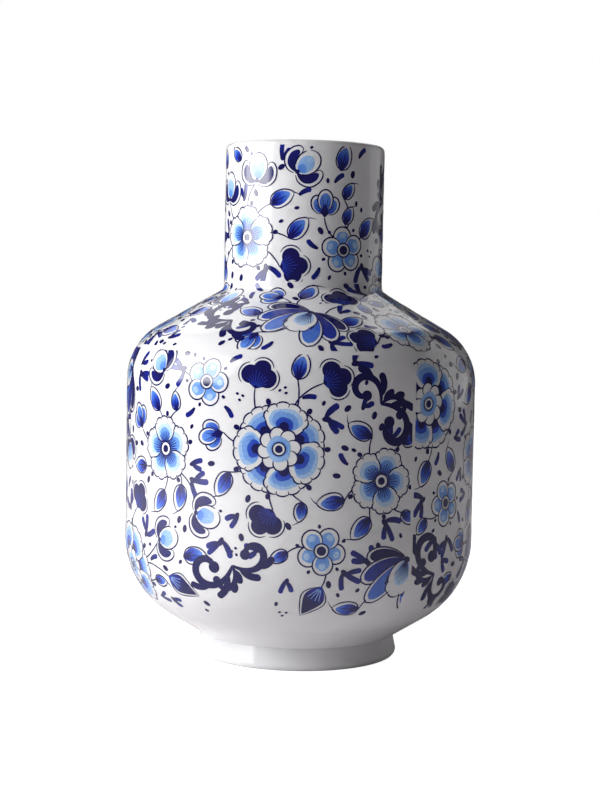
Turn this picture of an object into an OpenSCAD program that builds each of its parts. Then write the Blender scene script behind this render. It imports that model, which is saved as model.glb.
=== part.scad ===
// Glazed ceramic vase: straight neck, conical shoulder, straight-sided barrel, rounded bowl and foot ring.
// The clay is made in four sections, which are stuck together with slip at stepped lap joints.
// Glaze coats the clay inside and out, and thin printed sheets of blue flowers lie on the outer glaze.
// Units are millimetres. +Z is up, and the origin is the centre of the foot on the standing surface.

/* [Overall] */
// Height from the standing surface to the top of the rim
vase_h = 300; // [280:1:330]
// Outside diameter of the barrel, over the glaze
body_d = 205.6; // [196:0.2:216]
// Outside diameter of the neck, over the glaze
neck_d = 93.4; // [86:0.2:104]

/* [Bowl and barrel] */
// Height at which the rounded bowl runs into the straight barrel
bowl_top_z = 70; // [66:1:78]
// Radius of the rounded bowl
bowl_r = 52; // [48:1:54]
// Slope of the bowl's cone above the foot, in degrees from level
bowl_slope = 32; // [30:1:34]
// Height at which the barrel runs into the rounded shoulder
barrel_top_z = 162; // [150:1:166]

/* [Shoulder] */
// Radius of the rounded shoulder
shoulder_r = 36; // [30:1:40]
// Slope of the shoulder's cone, in degrees from level
shoulder_slope = 30; // [26:1:33]
// Radius of the small hollow where the shoulder meets the neck
neck_fillet_r = 3; // [2:0.5:5]

/* [Foot] */
// Height of the foot ring
foot_h = 13; // [11:0.5:14]
// Diameter of the foot ring at its top
foot_top_d = 114.4; // [113:0.2:115]
// Diameter of the foot ring where it is widest
foot_d = 118.4; // [117:0.2:120]
// Height at which the foot ring is widest
foot_wide_z = 3.6; // [3.2:0.1:4.4]
// Radius of the foot ring's inner wall, in the clay
foot_in_r = 49.5; // [48:0.5:51]
// Height of the hollow inside the foot ring
recess_z = 8; // [6:0.5:9]

/* [Walls] */
// Thickness of the clay wall
wall = 6; // [5:0.5:7]
// Height of the top of the clay floor inside
floor_z = 16; // [15:0.5:18]
// Thickness of the glaze
glaze_t = 0.4; // [0.3:0.05:0.6]
// Thickness of a printed sheet
print_t = 0.1; // [0.08:0.01:0.2]

/* [Rim] */
// Radius on the outside of the rim
lip_out_r = 3; // [2:0.2:3.4]
// Radius on the inside of the rim
lip_in_r = 2.4; // [1.6:0.2:2.8]

/* [Joints] */
// Height of the joint halfway up the barrel
belly_joint_z = 112; // [100:1:124]
// Height of the joint at the foot of the neck
neck_joint_z = 223; // [221:1:240]
// Height of the step in a lap joint
lap_h = 6; // [4:0.5:8]
// Thickness of the slip in a joint
slip_t = 0.6; // [0.4:0.1:1]

/* [Printed sheets] */
// Lower edge of the sheets on the barrel
body_print_z0 = 37; // [34:1:45]
// Seam between the sheets on the barrel and those on the shoulder
seam_z = 181.5; // [178:0.5:186]
// Bare strip between two sheets
seam_gap = 2; // [1:0.5:4]
// Number of sheets round the barrel
body_sheets = 3; // [3:3]
// Direction of the first upright seam on the barrel, in degrees from +X
body_seam_az = -50.4; // [-60:0.2:-40]
// Number of sheets round the shoulder
shoulder_sheets = 2; // [2:2]
// Direction of the first upright seam on the shoulder, in degrees from +X
shoulder_seam_az = 4; // [-10:1:20]
// Radius at which the sheets on the shoulder stop below the neck
shoulder_print_r = 50; // [50:0.5:54]
// Bare strip below the rim
rim_gap = 3.5; // [3.4:0.1:8]
// Direction of the seam in the sheet round the neck, in degrees from +X
neck_seam_az = 90; // [60:1:120]

/* [Hidden] */
$fn = 96;

clay_colour = [0.88, 0.83, 0.75];
slip_colour = [0.80, 0.74, 0.66];
glaze_colour = [0.95, 0.95, 0.94];
print_colour = [0.16, 0.26, 0.66];

body_r = body_d / 2;
neck_r = neck_d / 2;
bowl_cx = body_r - bowl_r;
shoulder_cx = body_r - shoulder_r;
arc_steps = 12;

// Depths below the glazed outside surface: the clay's outer face, its inner face and the inner glaze
clay_out = glaze_t;
clay_in = glaze_t + wall;
glaze_in = clay_in + glaze_t;
bore_r = neck_r - glaze_in;

// The point on the shoulder where its round part runs into its cone
shoulder_tip = [shoulder_cx + shoulder_r * sin(shoulder_slope), barrel_top_z + shoulder_r * cos(shoulder_slope)];
// The centre of the hollow at the foot of the neck, which touches the cone and the neck's side
fillet_cx = neck_r + neck_fillet_r;
fillet_cz = shoulder_tip[1]
    + (neck_fillet_r - sin(shoulder_slope) * (fillet_cx - shoulder_tip[0])) / cos(shoulder_slope);

function reversed(list) = [for (i = [len(list) - 1:-1:0]) list[i]];
function arc(cx, cz, r, from, to, steps = arc_steps) = [
    for (i = [0:steps]) let (a = from + (to - from) * i / steps) [cx + r * cos(a), cz + r * sin(a)]
];

// Radius of the bowl's cone at height z, at a depth d below the glazed outside surface
function bowl_cone_r(d, z) =
    bowl_cx + (bowl_r - d) * sin(bowl_slope)
    - (bowl_top_z - (bowl_r - d) * cos(bowl_slope) - z) / tan(bowl_slope);

// Outline of the bowl from height z up to the barrel, and of the shoulder up to the neck, at depth d
function bowl_path(d, z) = concat(
    [[bowl_cone_r(d, z), z]],
    arc(bowl_cx, bowl_top_z, bowl_r - d, bowl_slope - 90, 0)
);
function shoulder_path(d) = concat(
    arc(shoulder_cx, barrel_top_z, shoulder_r - d, 0, 90 - shoulder_slope),
    arc(fillet_cx, fillet_cz, neck_fillet_r + d, 270 - shoulder_slope, 180, 6)
);

// Outline over the rim at depth d, from the outside of the neck to its bore
function rim_path(d) = concat(
    arc(neck_r - lip_out_r, vase_h - lip_out_r, lip_out_r - d, 0, 90, 8),
    arc(bore_r + lip_in_r, vase_h - lip_in_r, lip_in_r - d, 90, 180, 8)
);
function outer_half(path) = [for (p = path) if (p[0] >= (neck_r + bore_r) / 2) p];
function inner_half(path) = [for (p = path) if (p[0] < (neck_r + bore_r) / 2) p];
rim_mid_r = (neck_r + bore_r) / 2;

// Outside of the foot ring at depth d, from the crease under the bowl down to the standing edge
function foot_path(d) = concat(
    [[foot_top_d / 2 - d, foot_h]],
    [[foot_d / 2 - 0.9 - d, foot_wide_z + 4.2]],
    arc(foot_d / 2 - foot_wide_z, foot_wide_z, foot_wide_z - d, 0, -70, 6)
);

// The step in a lap joint: the lower section keeps a tongue on the inside of the wall
function lap_mid_r(r) = r - clay_out - wall / 2;
function lap_below(r, z) = [
    [r - clay_out, z], [lap_mid_r(r), z], [lap_mid_r(r), z + lap_h], [r - clay_in, z + lap_h]
];
function lap_above(r, z) = [
    [r - clay_in, z + lap_h + slip_t], [lap_mid_r(r) + slip_t, z + lap_h + slip_t],
    [lap_mid_r(r) + slip_t, z + slip_t], [r - clay_out, z + slip_t]
];

module lute(r, z) {
    color(slip_colour) rotate_extrude() polygon(concat(lap_below(r, z), lap_above(r, z)));
}

module foot_ring() {
    stand_r = foot_d / 2 - foot_wide_z;
    color(clay_colour) rotate_extrude() polygon(concat(
        [[foot_in_r, foot_h - slip_t]],
        [[foot_top_d / 2 - clay_out, foot_h - slip_t]],
        [for (p = foot_path(clay_out)) if (p[1] < foot_h) p],
        [[stand_r, 0], [foot_in_r + 2, 0]],
        [[foot_in_r + 0.4, 0.6], [foot_in_r, 2]]
    ));
}

module foot_lute() {
    edge_r = foot_top_d / 2 - clay_out;
    inside_r = foot_in_r - slip_t;
    color(slip_colour) rotate_extrude() polygon([
        [foot_in_r, recess_z], [foot_in_r, foot_h - slip_t], [edge_r, foot_h - slip_t],
        [edge_r, foot_h], [inside_r, foot_h], [inside_r, recess_z]
    ]);
}

module lower_body() {
    boss_r = foot_in_r - slip_t;
    color(clay_colour) rotate_extrude() polygon(concat(
        [[0, recess_z], [boss_r, recess_z], [boss_r, foot_h]],
        bowl_path(clay_out, foot_h),
        lap_below(body_r, belly_joint_z),
        reversed(bowl_path(clay_in, floor_z)),
        [[0, floor_z]]
    ));
}

module upper_body() {
    color(clay_colour) rotate_extrude() polygon(concat(
        lap_above(body_r, belly_joint_z),
        shoulder_path(clay_out),
        lap_below(neck_r, neck_joint_z),
        reversed(shoulder_path(clay_in))
    ));
}

module neck() {
    color(clay_colour) rotate_extrude() polygon(concat(
        lap_above(neck_r, neck_joint_z),
        rim_path(clay_out)
    ));
}

module glaze_outside() {
    color(glaze_colour) rotate_extrude() polygon(concat(
        reversed(foot_path(0)),
        [for (p = bowl_path(0, foot_h)) if (p[1] > foot_h) p],
        shoulder_path(0),
        outer_half(rim_path(0)),
        [[rim_mid_r, vase_h], [rim_mid_r, vase_h - clay_out]],
        reversed(outer_half(rim_path(clay_out))),
        reversed(shoulder_path(clay_out)),
        reversed(bowl_path(clay_out, foot_h)),
        [[foot_top_d / 2 - clay_out, foot_h]],
        [for (p = foot_path(clay_out)) if (p[1] < foot_h) p]
    ));
}

module glaze_inside() {
    color(glaze_colour) rotate_extrude() polygon(concat(
        [[0, floor_z]],
        bowl_path(clay_in, floor_z),
        shoulder_path(clay_in),
        reversed(inner_half(rim_path(clay_out))),
        [[rim_mid_r, vase_h - clay_out], [rim_mid_r, vase_h]],
        inner_half(rim_path(0)),
        reversed(shoulder_path(glaze_in)),
        reversed(bowl_path(glaze_in, floor_z + glaze_t)),
        [[0, floor_z + glaze_t]]
    ));
}

module glaze_underside() {
    color(glaze_colour) rotate_extrude() polygon([
        [0, recess_z - glaze_t], [foot_in_r - glaze_t, recess_z - glaze_t], [foot_in_r - glaze_t, 3],
        [foot_in_r, 3], [foot_in_r, recess_z], [0, recess_z]
    ]);
}

// One sheet of a ring of sheets: path is its section on the glaze, and lifted is the same section print_t out
module sheet(path, lifted, start, turn) {
    color(print_colour) rotate([0, 0, start]) rotate_extrude(angle = turn)
        polygon(concat(path, reversed(lifted)));
}

function strip_angle(r) = seam_gap / r * 180 / PI;
function print_arc_low() = asin((body_print_z0 - bowl_top_z) / bowl_r);
function seam_angle(z) = asin((z - barrel_top_z) / shoulder_r);
function body_print_path(d) = concat(
    arc(bowl_cx, bowl_top_z, bowl_r - d, print_arc_low(), 0),
    arc(shoulder_cx, barrel_top_z, shoulder_r - d, 0, seam_angle(seam_z - seam_gap / 2))
);
function shoulder_print_path(d) = concat(
    arc(shoulder_cx, barrel_top_z, shoulder_r - d, seam_angle(seam_z + seam_gap / 2), 90 - shoulder_slope),
    [[
        shoulder_print_r - d * sin(shoulder_slope),
        shoulder_tip[1] + (shoulder_tip[0] - shoulder_print_r) * tan(shoulder_slope) - d * cos(shoulder_slope)
    ]]
);

module body_transfer(i) {
    step = 360 / body_sheets;
    sheet(body_print_path(0), body_print_path(-print_t),
        body_seam_az + i * step + strip_angle(body_r) / 2, step - strip_angle(body_r));
}

module shoulder_transfer(i) {
    step = 360 / shoulder_sheets;
    mid_r = (shoulder_print_r + body_r) / 2;
    sheet(shoulder_print_path(0), shoulder_print_path(-print_t),
        shoulder_seam_az + i * step + strip_angle(mid_r) / 2, step - strip_angle(mid_r));
}

module body_transfer_1() { body_transfer(0); }
module body_transfer_2() { body_transfer(1); }
module body_transfer_3() { body_transfer(2); }
module shoulder_transfer_1() { shoulder_transfer(0); }
module shoulder_transfer_2() { shoulder_transfer(1); }

module neck_transfer() {
    z0 = fillet_cz + 2;
    z1 = vase_h - rim_gap;
    sheet([[neck_r, z0], [neck_r, z1]], [[neck_r + print_t, z0], [neck_r + print_t, z1]],
        neck_seam_az + strip_angle(neck_r) / 2, 360 - strip_angle(neck_r));
}

foot_ring();
foot_lute();
lower_body();
lute(body_r, belly_joint_z);  // belly_lute
upper_body();
lute(neck_r, neck_joint_z);  // neck_lute
neck();
glaze_outside();
glaze_inside();
glaze_underside();
body_transfer_1();
body_transfer_2();
body_transfer_3();
shoulder_transfer_1();
shoulder_transfer_2();
neck_transfer();
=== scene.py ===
"""Looks of the glazed ceramic vase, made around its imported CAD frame.

The glaze is lathed from the vase's outline, and printed sheets of blue flowers lie on it. The flowers are
drawn on the surface in millimetres: theta is degrees to the right of the front, and z is height.
"""
import bisect
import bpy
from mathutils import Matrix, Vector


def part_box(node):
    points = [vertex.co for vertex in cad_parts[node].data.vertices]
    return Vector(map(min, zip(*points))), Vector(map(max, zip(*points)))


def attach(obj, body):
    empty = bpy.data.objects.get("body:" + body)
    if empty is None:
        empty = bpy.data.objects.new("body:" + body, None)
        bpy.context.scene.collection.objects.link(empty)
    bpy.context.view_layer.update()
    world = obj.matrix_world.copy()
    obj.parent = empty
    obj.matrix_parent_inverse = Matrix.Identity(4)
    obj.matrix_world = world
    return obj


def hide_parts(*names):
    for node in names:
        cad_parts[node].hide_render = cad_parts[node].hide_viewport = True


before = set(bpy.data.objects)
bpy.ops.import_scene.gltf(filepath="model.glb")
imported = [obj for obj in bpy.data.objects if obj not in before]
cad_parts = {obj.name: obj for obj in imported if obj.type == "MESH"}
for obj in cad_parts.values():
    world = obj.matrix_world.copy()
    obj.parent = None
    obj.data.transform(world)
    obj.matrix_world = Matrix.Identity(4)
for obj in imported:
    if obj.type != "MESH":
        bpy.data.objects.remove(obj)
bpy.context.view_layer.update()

import copy
import math
import random

import bpy
import numpy as np
from mathutils import Matrix, Vector, geometry

MM = 0.001


# ---------------------------------------------------------------------------------------------------
# Outline of the vase, in millimetres
# ---------------------------------------------------------------------------------------------------

def half_width(node):
    """Largest radius of a turned CAD node."""
    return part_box(node)[1].x / MM


def top_of(node):
    """Height of the top of a CAD node."""
    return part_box(node)[1].z / MM


GLAZE_T = 0.4
WALL = 6.0
BODY_R = half_width("glaze_outside")
NECK_R = half_width("neck") + GLAZE_T
VASE_H = top_of("glaze_outside")
BOWL_R = 52.0
BOWL_TOP_Z = 70.0
BOWL_SLOPE = 32.0
BARREL_TOP_Z = 162.0
SHOULDER_R = 36.0
SHOULDER_SLOPE = 30.0
FILLET_R = 3.0
LIP_OUT_R = 3.0
LIP_IN_R = 2.4
FOOT_TOP_R = 57.2
FOOT_R = 59.2
FOOT_H = 13.0
FOOT_WIDE_Z = 3.6
FOOT_IN_R = 49.5
RECESS_Z = 8.0
FLOOR_Z = 16.0
GLAZE_IN = WALL + 2 * GLAZE_T
BORE_R = NECK_R - GLAZE_IN

BOWL_CX = BODY_R - BOWL_R
SHOULDER_CX = BODY_R - SHOULDER_R


class Line:
    """A straight stretch of an outline."""

    def __init__(self, start, end):
        self.start = Vector(start)
        self.way = Vector(end) - self.start
        self.length = self.way.length
        self.way.normalize()
        self.bends = False

    def at(self, s):
        return self.start + self.way * s, self.way


class Arc:
    """A round stretch of an outline, from one angle to another, in degrees."""

    def __init__(self, centre, radius, start, end):
        self.centre = Vector(centre)
        self.radius = radius
        self.start = math.radians(start)
        self.turn = math.radians(end - start)
        self.length = abs(self.turn) * radius
        self.bends = True

    def at(self, s):
        a = self.start + self.turn * s / self.length
        out = Vector((math.cos(a), math.sin(a)))
        side = math.copysign(1.0, self.turn)
        return self.centre + out * self.radius, Vector((-out.y, out.x)) * side


class Outline:
    """A run of stretches that meet end to end. It is measured by s, the distance along it."""

    def __init__(self, stretches):
        self.stretches = stretches
        self.starts = []
        total = 0.0
        for stretch in stretches:
            self.starts.append(total)
            total += stretch.length
        self.length = total

    def at(self, s):
        """The point (radius, height) at s, and the way the outline runs there."""
        i = max(0, bisect.bisect_right(self.starts, s) - 1)
        return self.stretches[i].at(s - self.starts[i])

    def s_at(self, z):
        """The place where an outline that only climbs reaches height z."""
        low, high = 0.0, self.length
        for _ in range(40):
            middle = (low + high) / 2
            if self.at(middle)[0].y < z:
                low = middle
            else:
                high = middle
        return low


def bowl_and_barrel(depth, foot_z):
    """Stretches from the foot up to the shoulder, at a depth below the glazed outside."""
    r = BOWL_R - depth
    slope = math.radians(BOWL_SLOPE)
    low = Vector((BOWL_CX + r * math.sin(slope), BOWL_TOP_Z - r * math.cos(slope)))
    foot = Vector((low.x - (low.y - foot_z) / math.tan(slope), foot_z))
    return [
        Line(foot, low),
        Arc((BOWL_CX, BOWL_TOP_Z), r, BOWL_SLOPE - 90, 0),
        Line((BODY_R - depth, BOWL_TOP_Z), (BODY_R - depth, BARREL_TOP_Z)),
    ]


def shoulder_and_neck(depth, lip_z):
    """Stretches from the top of the barrel up to the rim, at a depth below the glazed outside."""
    slope = math.radians(SHOULDER_SLOPE)
    tip = Vector((SHOULDER_CX, BARREL_TOP_Z)) + SHOULDER_R * Vector((math.sin(slope), math.cos(slope)))
    cx = NECK_R + FILLET_R
    cz = tip.y + (FILLET_R - math.sin(slope) * (cx - tip.x)) / math.cos(slope)
    round_part = Arc((SHOULDER_CX, BARREL_TOP_Z), SHOULDER_R - depth, 0, 90 - SHOULDER_SLOPE)
    fillet = Arc((cx, cz), FILLET_R + depth, 270 - SHOULDER_SLOPE, 180)
    cone = Line(round_part.at(round_part.length)[0], fillet.at(0)[0])
    return [round_part, cone, fillet, Line((NECK_R - depth, cz), (NECK_R - depth, lip_z))]


PICTURE = Outline(bowl_and_barrel(0, FOOT_H) + shoulder_and_neck(0, VASE_H - LIP_OUT_R))


# ---------------------------------------------------------------------------------------------------
# Drawing on the surface
# ---------------------------------------------------------------------------------------------------

class Sheet:
    """A printed sheet: its window on the vase, and everything drawn on it, in painter's order."""

    def __init__(self, node, name, theta, z, middle_r):
        self.node = node
        self.name = name
        self.middle_r = middle_r
        self.theta = theta
        self.s = [PICTURE.s_at(height) for height in z]
        self.shapes = []

    def flat(self, theta, s):
        """Place on the flat sheet of a point on the vase."""
        return Vector((math.radians(theta) * self.middle_r, s))


LONGEST_EDGE = 2.6  # of a drawn outline, in millimetres


def between(a, b, share):
    """A point part of the way from a to b."""
    return a[0] + (b[0] - a[0]) * share, a[1] + (b[1] - a[1]) * share


class Pen:
    """Draws one motif: x runs to its right and y the way it points, in millimetres."""

    def __init__(self, sheet, piece, theta, z, aim=90.0):
        self.sheet = sheet
        self.piece = f"print_{sheet.name}_{piece}"
        self.theta = theta
        self.s = PICTURE.s_at(z)
        point, way = PICTURE.at(self.s)
        self.r = point.x
        self.narrowing = -way.x
        self.origin = Vector((0.0, 0.0))
        self.turn = math.radians(aim - 90)

    def at(self, x, y, heading=0.0):
        """A pen for a detail: its y axis is turned by heading degrees to the right of this pen's."""
        pen = copy.copy(self)
        pen.origin = self.to_motif(x, y)
        pen.turn = self.turn - math.radians(heading)
        return pen

    def to_motif(self, x, y):
        """Place in the whole motif of a point of this pen's own."""
        c, s = math.cos(self.turn), math.sin(self.turn)
        return self.origin + Vector((c * x - s * y, s * x + c * y))

    def from_motif(self, point):
        """This pen's own x and y for a place in the whole motif."""
        c, s = math.cos(self.turn), math.sin(self.turn)
        p = point - self.origin
        return c * p.x + s * p.y, c * p.y - s * p.x

    def to_sheet(self, x, y):
        """Lays a point on the vase as on the cone that touches it at the motif's middle."""
        p = self.to_motif(x, y)
        if abs(self.narrowing) < 0.02:
            s = self.s + p.y
            across = p.x
        else:
            apex = self.r / self.narrowing
            side = math.copysign(1.0, apex)
            reach = math.hypot(p.x, apex - p.y)
            s = self.s + side * (abs(apex) - reach)
            across = math.atan2(p.x, side * (apex - p.y)) * reach
        s = min(max(s, 0.0), PICTURE.length)
        return self.sheet.flat(self.theta + math.degrees(across / PICTURE.at(s)[0].x), s)

    def from_sheet(self, flat):
        """The motif's own place for a point of the flat sheet."""
        angle = flat.x / self.sheet.middle_r - math.radians(self.theta)
        across = angle * PICTURE.at(flat.y)[0].x
        if abs(self.narrowing) < 0.02:
            return self.from_motif(Vector((across, flat.y - self.s)))
        apex = self.r / self.narrowing
        side = math.copysign(1.0, apex)
        reach = abs(apex) - side * (flat.y - self.s)
        turn = across / reach
        return self.from_motif(Vector((reach * math.sin(turn), apex - side * reach * math.cos(turn))))

    def fill(self, points, ink, focus=None, reach=1.0, edge=None):
        """Fills an outline with ink, which may run to another strength, edge, at reach from its focus."""
        outline = []
        for a, b in zip(points, points[1:] + points[:1]):
            cuts = max(1, math.ceil(math.dist(a, b) / LONGEST_EDGE))
            for i in range(cuts):
                outline.append(self.to_sheet(*between(a, b, i / cuts)))
        self.sheet.shapes.append((self, outline, ink, focus, reach, edge))

    def band(self, left, right, ink, focus=None, reach=1.0, edge=None):
        """Fills the band between two lines that run side by side."""
        self.fill(list(left) + list(right)[::-1], ink, focus, reach, edge)

    def stroke(self, points, width, ink=1.0, start=0.45, end=0.45, swell=None):
        """Draws a line whose width eases from start to end, as shares of width, and swells in between."""
        last = len(points) - 1
        lengths = [0.0]
        for a, b in zip(points, points[1:]):
            lengths.append(lengths[-1] + math.dist(a, b))
        left, right = [], []
        for i, (x, y) in enumerate(points):
            ax, ay = points[max(i - 1, 0)]
            bx, by = points[min(i + 1, last)]
            run = math.hypot(bx - ax, by - ay) or 1.0
            t = lengths[i] / lengths[-1]
            if swell is None:
                share = min(1.0, start + (1 - start) * 4 * t, end + (1 - end) * 4 * (1 - t))
            else:
                share = swell(t)
            half = share * width / 2
            nx, ny = -(by - ay) / run * half, (bx - ax) / run * half
            left.append((x + nx, y + ny))
            right.append((x - nx, y - ny))
        self.band(left, right, ink)


# Strength of the ink, from 0 for bare glaze to 1 for the darkest blue
NAVY = 1.0
ROYAL = 0.66
SOFT = 0.32
WHITE = 0.0

LINE = 0.86  # width of an outline, in millimetres


def turned(points, degrees):
    """Points turned to the right about the origin."""
    c, s = math.cos(math.radians(degrees)), math.sin(math.radians(degrees))
    return [(c * x + s * y, c * y - s * x) for x, y in points]


def scaled(points, size):
    return [(x * size, y * size) for x, y in points]


def oval(x, y, rx, ry, heading=0.0, count=18):
    """An oval's outline. Its long way may be turned by heading degrees."""
    ring = [(rx * math.cos(math.tau * i / count), ry * math.sin(math.tau * i / count)) for i in range(count)]
    return [(x + px, y + py) for px, py in turned(ring, heading)]


def round_line(x, y, r, start, end, count=14):
    """Points on a circle, from one compass heading to another."""
    headings = [math.radians(start + (end - start) * i / count) for i in range(count + 1)]
    return [(x + r * math.sin(h), y + r * math.cos(h)) for h in headings]


def smooth(points, closed=False, steps=5):
    """A smooth line through the points given."""
    count = len(points)
    spans = count if closed else count - 1
    line = []
    for i in range(spans):
        a = points[i - 1] if closed or i > 0 else points[0]
        b, c = points[i], points[(i + 1) % count]
        d = points[(i + 2) % count] if closed or i + 2 < count else c
        for k in range(steps):
            t = k / steps
            line.append(tuple(
                b[n] + 0.5 * t * (c[n] - a[n] + t * (2 * a[n] - 5 * b[n] + 4 * c[n] - d[n]
                                                     + t * (3 * (b[n] - c[n]) + d[n] - a[n])))
                for n in (0, 1)))
    return line if closed else line + [points[-1]]


def lobe(a, b, height, count=7):
    """A round lobe from a to b, which stands out to the left of the way from a to b."""
    ax, ay = a
    bx, by = b
    line = []
    for i in range(count + 1):
        t = i / count
        out = height * math.sin(math.pi * t) ** 0.75
        run = math.dist(a, b)
        line.append((ax + (bx - ax) * t - (by - ay) / run * out, ay + (by - ay) * t + (bx - ax) / run * out))
    return line


def bent(length, heading, bend, count=14):
    """A line from the origin that sets out at a heading and turns by bend degrees on its way."""
    x = y = 0.0
    line = [(x, y)]
    for i in range(count):
        a = math.radians(heading + bend * (i + 0.5) / count)
        x += length / count * math.sin(a)
        y += length / count * math.cos(a)
        line.append((x, y))
    return line


def both_sides(line, width):
    """The outline around a line, whose half width is width(t)."""
    last = len(line) - 1
    left, right = [], []
    for i, (x, y) in enumerate(line):
        ax, ay = line[max(i - 1, 0)]
        bx, by = line[min(i + 1, last)]
        run = math.hypot(bx - ax, by - ay) or 1.0
        half = width(i / last)
        left.append((x - (by - ay) / run * half, y + (bx - ax) / run * half))
        right.append((x + (by - ay) / run * half, y - (bx - ax) / run * half))
    return left, right


def club(pen, length, heading, bend, thin=1.5, thick=2.9, ink=0.98, edge=0.8):
    """A brush stroke that starts thin and ends thick and round."""
    line = bent(length, heading, bend, 24)
    round_end = thick / 2 / length

    def half(t):
        grown = thin + (thick - thin) * math.sin(math.pi / 2 * min(1.0, t / 0.55))
        return grown / 2 * math.sqrt(max(0.0, 1 - max(0.0, (t - 1 + round_end) / round_end) ** 2))

    left, right = both_sides(line, half)
    pen.band(left, right, ink, focus=(0, 0), reach=length, edge=edge)


def ray(pen, heading, foot, reach, width, ink, start, end):
    """A straight stroke along a heading, from foot to reach."""
    pen.at(0, 0, heading).stroke([(0, foot), (0, reach)], width, ink, start=start, end=end)


def spot(pen, x, y, r, stretch=1.25, heading=0.0):
    """A dab of the brush."""
    pen.fill(oval(x, y, r, r * stretch, heading, 12), NAVY)


# ---------------------------------------------------------------------------------------------------
# Motifs. Each one starts at its own foot or centre.
# ---------------------------------------------------------------------------------------------------

hand = random.Random(11)


def wash(pen, x, y, rx, ry, ink, edge):
    """A patch of thin colour with an uneven edge, strongest towards the motif's foot."""
    first, second = hand.uniform(0, 6), hand.uniform(0, 6)
    ring = []
    for i in range(36):
        a = math.tau * i / 36
        swell = 1 + 0.05 * math.sin(2 * a + first) + 0.03 * math.sin(5 * a + second)
        ring.append((x + rx * swell * math.cos(a), y + ry * swell * math.sin(a)))
    pen.fill(ring, ink, focus=(x * 0.6, y - ry), reach=2 * ry, edge=edge)


def lobed_petal(pen, size, cusps, heights, washes):
    """A petal whose edge runs in round lobes from one side of its foot to the other."""
    points = scaled(cusps, size)
    lobes = [lobe(a, b, height * size) for a, b, height in zip(points, points[1:], heights)]
    pen.fill([p for part in lobes for p in part], WHITE)
    for y, rx, ry, ink, edge in washes:
        wash(pen, 0, y * size, rx * size, ry * size, ink, edge)
    for part in lobes:
        tick = (part[-1][0] * 0.93, part[-1][1] * 0.93)
        pen.stroke(part + [tick], LINE, start=0.5, end=0.3)


# A lobed petal of size 1: the corners between its lobes, the height of each lobe, and its washes as
# height, half width, half height, ink and ink at the far edge
FIVE_CUSPS = [(-0.08, 0.2), (-0.42, 0.56), (-0.39, 0.78), (-0.15, 0.92),
              (0.15, 0.92), (0.39, 0.78), (0.42, 0.56), (0.08, 0.2)]
FIVE_LOBES = [0.09, 0.07, 0.07, 0.06, 0.07, 0.07, 0.09]
FIVE_WASHES = [(0.49, 0.31, 0.29, 0.3, 0.22), (0.42, 0.23, 0.22, 0.54, 0.4)]


def five_petal(pen, r):
    """An open flower of five lobed petals with fine lines round a ringed eye."""
    for k in (0, 3, 1, 4, 2):
        p = pen.at(0, 0, 72 * k)
        lobed_petal(p, r, FIVE_CUSPS, FIVE_LOBES, FIVE_WASHES)
        for i in range(-3, 4):
            reach = r * (0.54 - 0.03 * abs(i) + hand.uniform(-0.03, 0.03))
            ray(p, i * 10, r * 0.2, reach, r * 0.045, 0.94, 0.9, 0.5)
    for k in range(5):
        spot(pen.at(0, 0, 72 * k), r * 0.17, r * 1.04, r * 0.07)
    pen.fill(oval(0, 0, r * 0.21, r * 0.21, 0, 24), WHITE)
    pen.stroke(round_line(0, 0, r * 0.205, 0, 360, 24), LINE * 0.8, start=1, end=1)
    spot(pen, 0, 0, r * 0.115, 1.0)


def round_flower(pen, r):
    """A small flower of five round petals round a dark core."""
    for k in (0, 2, 4, 1, 3):
        p = pen.at(0, 0, 72 * k)
        p.fill(oval(0, r * 0.57, r * 0.4, r * 0.42, 0, 28), WHITE)
        wash(p, 0, r * 0.5, r * 0.29, r * 0.3, 0.46, 0.36)
        wash(p, r * 0.03, r * 0.62, r * 0.14, r * 0.12, 0.3, 0.26)
        p.stroke(round_line(0, r * 0.57, r * 0.41, -160, 160, 28), LINE)
        spot(pen.at(0, 0, 72 * k + 36), 0, r * 0.98, r * 0.07)
    ringed_core(pen, r * 0.28, r * 0.29, r * 0.19, (26, 28, 24))


BIG_CUSPS = [(-0.1, 0.3), (-0.45, 0.53), (-0.46, 0.73), (-0.28, 0.89), (0.0, 0.95),
             (0.28, 0.89), (0.46, 0.73), (0.45, 0.53), (0.1, 0.3)]
BIG_LOBES = [0.07, 0.05, 0.05, 0.05, 0.05, 0.05, 0.05, 0.07]
BIG_WASHES = [(0.62, 0.37, 0.28, 0.35, 0.28), (0.59, 0.3, 0.23, 0.46, 0.38), (0.53, 0.21, 0.16, 0.74, 0.62)]


def ringed_core(pen, white_r, ring_r, dot_r, counts):
    """A white disc, a line round it and a dark dot in it. counts are the points of each."""
    disc_points, ring_points, dot_points = counts
    pen.fill(oval(0, 0, white_r, white_r, 0, disc_points), WHITE)
    ring = oval(0, 0, ring_r, ring_r, 0, ring_points)
    pen.stroke(ring + ring[:1], LINE, start=0.8, end=0.8)
    pen.fill(oval(0, 0, dot_r, dot_r, 0, dot_points), NAVY)


def big_petal(pen, reach, width):
    """A petal of the double flower: a lobed white edge round three washes and a dark spot."""
    cusps = [(x * width, y * reach) for x, y in BIG_CUSPS]
    lobes = [lobe(a, b, height * (width + reach) / 2) for a, b, height in zip(cusps, cusps[1:], BIG_LOBES)]
    pen.fill([p for part in lobes for p in part], WHITE)
    for y, rx, ry, ink, edge in BIG_WASHES:
        wash(pen, 0, y * reach, rx * width, ry * reach * 0.85, ink, edge)
    spot(pen, 0, reach * 0.46, width * 0.115, 1.1)
    for part in lobes:
        tick = (part[-1][0] * 0.9, part[-1][1] * 0.93)
        pen.stroke(part + [tick], LINE, start=0.5, end=0.3)


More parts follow.
